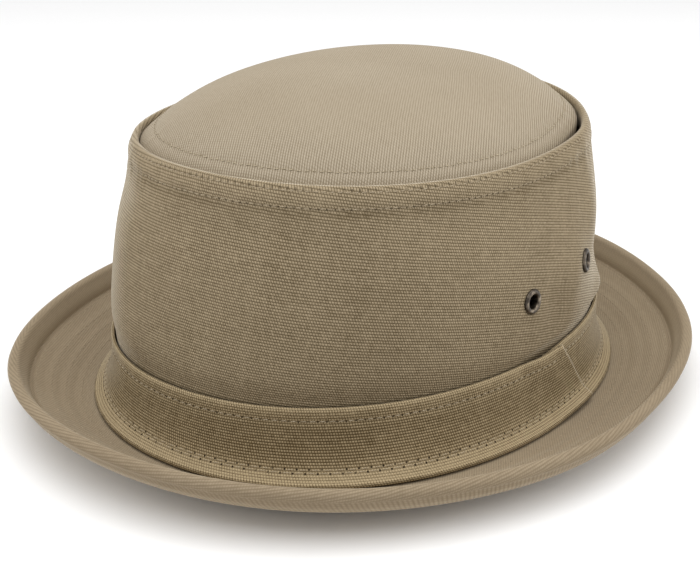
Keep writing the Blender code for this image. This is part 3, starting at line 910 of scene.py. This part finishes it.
top_marks = top_angles(np.linspace(0, top_girth, round(top_girth / TOP_STITCH) + 1))
top_thread = stitches(
    "top_stitches",
    [
        (
            top_place,
            top_marks[:-1],
            top_marks[1:],
            np.array((groove_share, -TOP_THREAD_DOWN)),
            np.array((groove_share - 0.01, -TOP_THREAD_DOWN)),
            np.array((0.0, 1.0)),
        )
    ],
    thread=TOP_THREAD,
    gap=0.14,
    slant=0.10,
)
top_thread.data.materials.append(
    thread_material("top thread", light=(0.52, 0.44, 0.31, 1), dark=(0.33, 0.27, 0.18, 1))
)


# Hat band: a strip of the crown's canvas, its long edges folded under, sewn 4 mm below its top edge and
# twice above its lower hem, which flares out on to the brim. Its front end laps over its back end.
BAND_CLOTH = 1.3 * MM
BAND_LAP = 11.0 * MM
BAND_LAP_RAMP = 15.0 * MM
BAND_END_DROP = 0.9 * MM
BAND_DROP_REACH = 17.6 * MM
BAND_END_BOW = 1.7
BAND_EDGE_HIGHLIGHT = 1.3
BAND_END_HIGHLIGHT = 0.2
BAND_GAP = 0.1 * MM
BAND_SLANT = 0.20
BAND_THREAD = 0.34 * MM
HEM_THREAD = 0.26 * MM
JOIN_TOP_ANGLE = math.radians(-0.3)
JOIN_FOOT_ANGLE = math.radians(7.4)
BAND_HEIGHT = 22.8 * MM
BAND_COLUMNS = 420
END_ROLL = 0.4 * MM
END_ROLL_REACH = 1.6 * MM
BAND_STITCH = 3.0 * MM
HEM_STITCH = 3.7 * MM
BAND_UNSEWN = 5.0 * MM

# The outside of the band from its lower hem to its top edge, in millimetres out from the head oval
# and up from the brim.
BAND_OUTSIDE = [
    (9.1, 2.0), (7.8, 2.9), (6.4, 4.1), (4.9, 6.2), (3.6, 9.3), (2.6, 13.4), (2.0, 18.4), (1.9, 22.0),
    (1.9, 24.7),
]

band_total = girth(HEAD_WIDTH, HEAD_LENGTH)


def band_angles(distances):
    return paced(HEAD_WIDTH, HEAD_LENGTH, 0.0, distances - BAND_LAP)


def end_lean(up):
    """How far round the hat the slanting ends of the band lean back at a height, as an angle."""
    share = np.clip((up - BAND_OUTSIDE[0][1] * MM) / BAND_HEIGHT, 0, 1)
    return (JOIN_TOP_ANGLE - JOIN_FOOT_ANGLE) * share**BAND_END_BOW


def band_place(distance, out, up):
    """Carries a point of the band's section to its place, at a distance along the band from its back
    end. Near its front end the band lifts off the crown, to clear its own back end, whose top sits
    a little lower."""
    share = np.clip((up - BAND_OUTSIDE[0][1] * MM) / BAND_HEIGHT, 0, 1)
    angle = JOIN_FOOT_ANGLE + end_lean(up) + band_angles(distance)
    before_lap = np.clip((band_total - distance) / BAND_LAP_RAMP, 0, 1)
    lift = (BAND_CLOTH + BAND_GAP) * (0.5 + 0.5 * np.cos(np.pi * before_lap))
    to_end = band_total + BAND_LAP - distance
    lift = lift + END_ROLL * np.exp(-(((to_end - END_ROLL_REACH) / END_ROLL_REACH) ** 2))
    flare = (1 - share) ** 2
    seam = puckers(angle, up, 20.5 * MM, depth=0.12 * MM, reach=3 * MM)
    # Along the flaring hem the band lifts up more than out.
    x, y = oval(HEAD_WIDTH, HEAD_LENGTH, out + lift * (1 - 0.4 * flare) + seam, angle)
    level = BRIM_THICKNESS + up + lift * 0.9 * flare + BAND_TILT * np.cos(angle) * share
    from_back_end = np.clip(distance / BAND_DROP_REACH, 0, 1)
    drop = BAND_END_DROP * share * (0.5 + 0.5 * np.cos(np.pi * from_back_end))
    return x, y, level - drop


band_face = soft_line(np.array(BAND_OUTSIDE) * MM, 3, RIB / 2)
band_row = lengths_along(band_face)[1]
band_length = float(lengths_along(band_face)[-1])
band_rounds = [
    {"up": 4.1 * MM, "pitch": HEM_STITCH, "offset": 0.25, "strength": 1.0},
    {"up": 5.4 * MM, "pitch": HEM_STITCH, "offset": 0.60, "strength": 1.0},
    {"up": band_length - 4.0 * MM, "pitch": BAND_STITCH, "offset": 0.0, "strength": 0.9},
]
band_back = band_face + left_of(band_face) * BAND_CLOTH
band_sewn = sunk(
    band_face, [sewn["up"] for sewn in band_rounds], depth=0.22 * MM, width=0.9 * MM
)
band_around = np.linspace(0, band_total + BAND_LAP, BAND_COLUMNS + 1)
band_plain = cloth_section(band_face, band_back, skip=4)
band_up = lengths_along(band_plain)
# The ends of the band are cut on a slant, so the map of the cloth starts further back higher up.
band_starts = end_lean(band_plain[:, 1:]) * HEAD_LENGTH / 2
for sewn in band_rounds:
    start = float(band_starts[round(sewn["up"] / band_row), 0])
    sewn["first"] = sewn["offset"] * sewn["pitch"] + start
# Painted highlights along the band's two folded edges and down its folded front end, which laps over
# its back end.
band_end_highlight = np.exp(-(((band_around[-1] - band_around) / (1.0 * MM)) ** 2))[None, :]
band_edge_highlights = near(band_plain, 0.3 * MM, 0.8 * MM) + near(band_plain, band_length, 0.8 * MM)
band = cloth_piece(
    "hat_band_cloth",
    cloth_section(band_sewn, band_back, skip=4),
    band_around,
    band_place,
    [(len(band_plain), (band_around[None, :] + band_starts, band_up[:, None]))],
    {"PaintedLight": np.maximum(BAND_EDGE_HIGHLIGHT * band_edge_highlights, BAND_END_HIGHLIGHT * band_end_highlight)},
)
band.data.materials.append(
    canvas_material(
        "band canvas",
        light=(0.44, 0.346, 0.21, 1),
        dark=(0.086, 0.055, 0.020, 1),
        weave={"rib": 2 * band_row, "bead": BEAD, "slant": BAND_SLANT, "shift": BEAD_SHIFT},
        marks=band_rounds,
        # Painted shading up the band: a painted shadow at the very edge of its hem, painted light on
        # the hem, which faces up, darker over its middle and a little lighter near its top.
        painted_shading=[
            (0.0, -0.25), (0.9 * MM, 0.26), (4.5 * MM, 0.20), (8 * MM, -0.05), (18 * MM, -0.05),
            (band_length - 3 * MM, 0.05),
        ],
        painted_sheen=0.45,
    )
)
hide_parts("hat_band")

sewn_rounds = []
last_mark = band_total + BAND_LAP - BAND_UNSEWN
for sewn in band_rounds:
    band_marks = np.arange(sewn["offset"] * sewn["pitch"], last_mark, sewn["pitch"])
    sewn_rounds.append(stitch_round(band_place, band_marks, band_sewn, band_row, sewn["up"]))
light_thread = thread_material(
    "band thread", light=(0.44, 0.37, 0.265, 1), dark=(0.29, 0.235, 0.16, 1)
)
for name, rounds, thread, gap in (
    ("hem_stitches", sewn_rounds[:2], HEM_THREAD, 0.16),
    ("band_stitches", sewn_rounds[2:], BAND_THREAD, 0.15),
):
    band_thread = stitches(name, rounds, thread, gap, slant=0.08)
    band_thread.data.materials.append(light_thread)


# Vent eyelets: four turned rings of dark antiqued brass, pressed into holes through the crown's side.
EYELETS = ["eyelet_left_front", "eyelet_left_back", "eyelet_right_front", "eyelet_right_back"]
EYELET_HOLE = 6.0 * MM
EYELET_TURNS = 40
EYELET_ROW_SPACING = 0.22 * MM
PUNCH_REACH = 5.0 * MM

# Half section of an eyelet in millimetres: radius and height above the cloth, over the flange from the
# bore, under it, down the barrel, round the clenched washer behind the cloth and back up the bore.
EYELET_SECTION = [
    (2.45, -2.2), (2.45, 0.2), (2.7, 0.9), (3.5, 1.15), (4.2, 0.8), (4.5, 0.25), (4.35, 0.0),
    (3.0, 0.1), (2.95, -1.6), (4.0, -1.7), (4.0, -2.2),
]


def eyelet_frame(node):
    """Where an eyelet sits on the crown, from its solid: a matrix with its axis pointing out."""
    low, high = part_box(node)
    middle = (low + high) / 2
    angle = math.atan2(middle.y / HEAD_LENGTH, middle.x / HEAD_WIDTH)
    up = middle.z - WALL_FOOT
    up -= rim_wave(angle) * (up / WALL_HEIGHT) ** 2
    row = int(np.argmin(np.abs(wall_face[:, 1] - up)))
    here = np.array(wall_place(angle, *wall_face[row]))
    beside = np.array(wall_place(angle + 0.02, *wall_face[row]))
    above = np.array(wall_place(angle, *wall_face[row + 3]))
    outward = Vector(np.cross(beside - here, above - here)).normalized()
    return Matrix.Translation(here) @ outward.to_track_quat("Z", "Y").to_matrix().to_4x4()


def eyelet(name, place):
    """A ring turned from its half section, with its edges rounded."""
    bm = bmesh.new()
    outline = np.array(EYELET_SECTION + EYELET_SECTION[:1]) * MM
    half = soft_line(outline, 2, EYELET_ROW_SPACING)[:-1]
    verts = [bm.verts.new((radius, 0, height)) for radius, height in half]
    for index in range(len(verts)):
        bm.edges.new((verts[index - 1], verts[index]))
    bmesh.ops.spin(
        bm,
        geom=bm.verts[:] + bm.edges[:],
        cent=(0, 0, 0),
        axis=(0, 0, 1),
        angle=2 * math.pi,
        steps=EYELET_TURNS,
        use_merge=True,
    )
    bmesh.ops.remove_doubles(bm, verts=bm.verts, dist=WELD)
    bmesh.ops.recalc_face_normals(bm, faces=bm.faces)
    bmesh.ops.transform(bm, matrix=place, verts=bm.verts)
    return finished(name, bm)


def eyelet_material():
    """Antiqued brass: a brown-black skin, rubbed to bare metal in patches, with fine scratches."""
    material, shader, strand = new_material("antiqued brass", 0.4, 0.0)
    shader.inputs["Metallic"].default_value = 1.0
    shader.inputs["Specular IOR Level"].default_value = 0.5
    spot = strand.make("ShaderNodeTexCoord", {}, {}, "Object")
    rubbed = strand.noise(spot, 420.0, 4.0)
    grain = strand.noise(spot, 2600.0)
    colour = rubbed.step(0.45, 0.75).blend((0.075, 0.062, 0.050, 1), (0.34, 0.28, 0.21, 1))
    finish_cloth(shader, colour, grain, 0.05 * MM, 0.4, 0.0)
    rough = 0.28 + 0.30 * grain
    strand.tree.links.new(rough.socket, shader.inputs["Roughness"])
    return material


antiqued_brass = eyelet_material()
cloth_bm = bmesh.new()
cloth_bm.from_mesh(wall.data)
for node in EYELETS:
    place = eyelet_frame(node)
    ring = eyelet(node + "_ring", place)
    ring.data.materials.append(antiqued_brass)
    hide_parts(node)
    # The hole is punched through both faces of the cloth, and its cut edge lies under the ring.
    punch = place.inverted()
    punched = [
        face
        for face in cloth_bm.faces
        if abs((punch @ face.calc_center_median()).z) < PUNCH_REACH
        and (punch @ face.calc_center_median()).xy.length < EYELET_HOLE / 2
    ]
    bmesh.ops.delete(cloth_bm, geom=punched, context="FACES")
    cut = [edge for edge in cloth_bm.edges if edge.is_boundary]
    for vert in {vert for edge in cut for vert in edge.verts}:
        spot = punch @ vert.co
        spot.xy *= EYELET_HOLE / 2 / spot.xy.length
        vert.co = place @ spot
    bmesh.ops.bridge_loops(cloth_bm, edges=cut)
bmesh.ops.recalc_face_normals(cloth_bm, faces=cloth_bm.faces)
cloth_bm.to_mesh(wall.data)
cloth_bm.free()


# The studio: a pale floor that runs on behind, an even white sky, one large soft light overhead and
# a weak one on each side.
FLOOR_SIZE = 6.0
SKY_STRENGTH = 0.55
OVERHEAD_POWER = 22.5
OVERHEAD_SIZE = 1.8
OVERHEAD_SPOT = Vector((0.12, -0.25, 1.5))
LEFT_POWER = 4.8
RIGHT_POWER = 7.4
SIDE_SIZE = 0.9
LEFT_SPOT = Vector((-0.85, -1.0, 0.5))
RIGHT_SPOT = Vector((1.15, 0.7, 0.5))

floor_bm = bmesh.new()
bmesh.ops.create_grid(floor_bm, x_segments=1, y_segments=1, size=FLOOR_SIZE / 2)
floor_mesh = bpy.data.meshes.new("floor")
floor_bm.to_mesh(floor_mesh)
floor_bm.free()
floor = bpy.data.objects.new("floor", floor_mesh)
bpy.context.scene.collection.objects.link(floor)
floor_material, floor_shader, _ = new_material("pale floor", 0.9, 0.0)
floor_shader.inputs["Base Color"].default_value = (0.93, 0.93, 0.93, 1)
floor_mesh.materials.append(floor_material)

sky = bpy.data.worlds.new("sky")
sky.use_nodes = True
sky.node_tree.nodes["Background"].inputs["Color"].default_value = (1, 1, 1, 1)
sky.node_tree.nodes["Background"].inputs["Strength"].default_value = SKY_STRENGTH
bpy.context.scene.world = sky

for name, power, size, spot in (
    ("overhead", OVERHEAD_POWER, OVERHEAD_SIZE, OVERHEAD_SPOT),
    ("left side", LEFT_POWER, SIDE_SIZE, LEFT_SPOT),
    ("right side", RIGHT_POWER, SIDE_SIZE, RIGHT_SPOT),
):
    light = bpy.data.objects.new(name, bpy.data.lights.new(name, "AREA"))
    light.data.energy = power
    light.data.size = size
    light.location = spot
    light.rotation_euler = (-spot).to_track_quat("-Z", "Y").to_euler()
    bpy.context.scene.collection.objects.link(light)
bpy.context.scene.view_settings.view_transform = "Standard"

bpy.context.view_layer.update()
